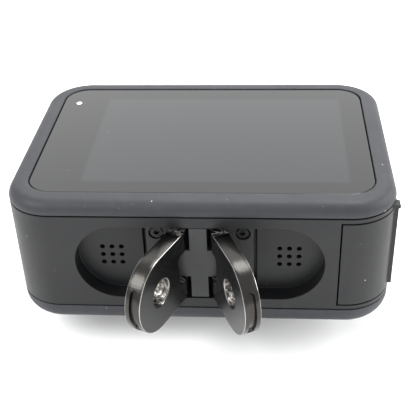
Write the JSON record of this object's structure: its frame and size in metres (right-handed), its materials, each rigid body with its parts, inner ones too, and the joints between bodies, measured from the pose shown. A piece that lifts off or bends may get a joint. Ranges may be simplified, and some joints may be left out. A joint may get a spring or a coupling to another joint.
{
  "type": "action camera",
  "caption": "Rugged box-shaped action camera with a rear touch screen, square lens cover, folding mounting fingers, hinged side door and push buttons.",
  "frame": {"origin": "middle of the lens cover's front face, on the lens axis", "axes": "+X right as seen from the rear screen, +Y towards the shutter button, +Z out of the rear screen"},
  "size_m": [0.0729, 0.0666, 0.0335],
  "materials": {
    "soft_rubber": "matte, soft-touch",
    "band_plastic": "fine satin",
    "screen_glass": "polished, black backed",
    "display_panel": "dark panel",
    "adhesive": "black tape",
    "light_pipe": "clear white",
    "seal_rubber": "black",
    "cover_alloy": "black anodised look",
    "lens_glass": "coated, clear",
    "lens_metal": "black anodised",
    "sensor_chip": "filter glass over silicon",
    "circuit_board": "green solder mask",
    "shield_steel": "stamped steel",
    "heat_alloy": "milled",
    "bay_plastic": "moulded",
    "battery_wrap": "wrapped cell",
    "tab_film": "orange film",
    "contact_gold": "gold plated",
    "card_plastic": "moulded",
    "mesh_black": "woven mesh",
    "screw_steel": "plated",
    "black_screw": "black oxide",
    "pin_steel": "ground",
    "plate_alloy": "satin black",
    "finger_alloy": "satin black, worn bright on its rims",
    "button_plastic": "satin"
  },
  "bodies": {
    "casing": {"rear_cover": "soft_rubber", "front_cover": "soft_rubber", "middle_band": "band_plastic", "centre_post": "band_plastic", "rear_glass": "screen_glass", "front_glass": "screen_glass", "rear_display": "display_panel", "front_display": "display_panel", "rear_glass_adhesive": "adhesive", "status_light_rear": "light_pipe", "status_light_front": "light_pipe", "rear_seam_seal": "seal_rubber", "front_seam_seal": "seal_rubber", "lens_cover_seal": "seal_rubber", "lens_cover_frame": "cover_alloy", "lens_retaining_ring": "cover_alloy", "lens_cover_glass": "lens_glass", "lens_front_element": "lens_glass", "lens_inner_elements": "lens_glass", "lens_barrel": "lens_metal", "lens_flange": "lens_metal", "image_sensor": "sensor_chip", "sensor_board": "circuit_board", "main_board": "circuit_board", "processor_shield": "shield_steel", "card_slot": "shield_steel", "usb_socket": "shield_steel", "shutter_switch": "shield_steel", "mode_switch": "shield_steel", "heat_spreader": "heat_alloy", "battery_bay": "bay_plastic", "usb_tongue": "bay_plastic", "speaker": "bay_plastic", "battery": "battery_wrap", "battery_pull_tab": "tab_film", "battery_contacts": "contact_gold", "drain_microphone": "contact_gold", "microphones": "contact_gold", "grille_meshes": "mesh_black", "board_screws": "screw_steel", "hinge_screws": "black_screw", "left_hinge_pin": "pin_steel", "right_hinge_pin": "pin_steel", "door_hinge_pin": "pin_steel", "hinge_plate": "plate_alloy"},
    "left_finger": {"left_finger": "finger_alloy"},
    "right_finger": {"right_finger": "finger_alloy"},
    "side_door": {"side_door": "band_plastic", "door_gasket": "seal_rubber", "latch_guide": "bay_plastic"},
    "door_latch": {"door_latch": "button_plastic"},
    "shutter_button": {"shutter_button": "button_plastic", "shutter_button_seal": "seal_rubber"},
    "mode_button": {"mode_button": "button_plastic", "mode_button_seal": "seal_rubber"},
    "memory_card": {"memory_card": "card_plastic"}
  },
  "joints": [
    {"name": "left_finger_hinge", "type": "hinge", "parent": "casing", "child": "left_finger", "pos_m": [0.0133, -0.0301, 0.0206], "axis": [0, 0, -1], "range_deg": [-24, 66]},
    {"name": "right_finger_hinge", "type": "hinge", "parent": "casing", "child": "right_finger", "pos_m": [0.0195, -0.0301, 0.0206], "axis": [0, 0, 1], "range_deg": [-24, 66]},
    {"name": "side_door_hinge", "type": "hinge", "parent": "casing", "child": "side_door", "pos_m": [0.04315, -0.0308, 0.0206], "axis": [0, 0, -1], "range_deg": [0, 105]},
    {"name": "door_latch_slide", "type": "slide", "parent": "side_door", "child": "door_latch", "axis": [0, -1, 0], "range_m": [0, 0.002], "stiffness_N_per_m": 300},
    {"name": "shutter_button_press", "type": "slide", "parent": "casing", "child": "shutter_button", "axis": [0, -1, 0], "range_m": [0, 0.0005], "stiffness_N_per_m": 1500},
    {"name": "mode_button_press", "type": "slide", "parent": "casing", "child": "mode_button", "axis": [1, 0, 0], "range_m": [0, 0.0005], "stiffness_N_per_m": 1500},
    {"name": "memory_card_push", "type": "slide", "parent": "casing", "child": "memory_card", "axis": [-1, 0, 0], "range_m": [0, 0.0008], "stiffness_N_per_m": 800}
  ]
}
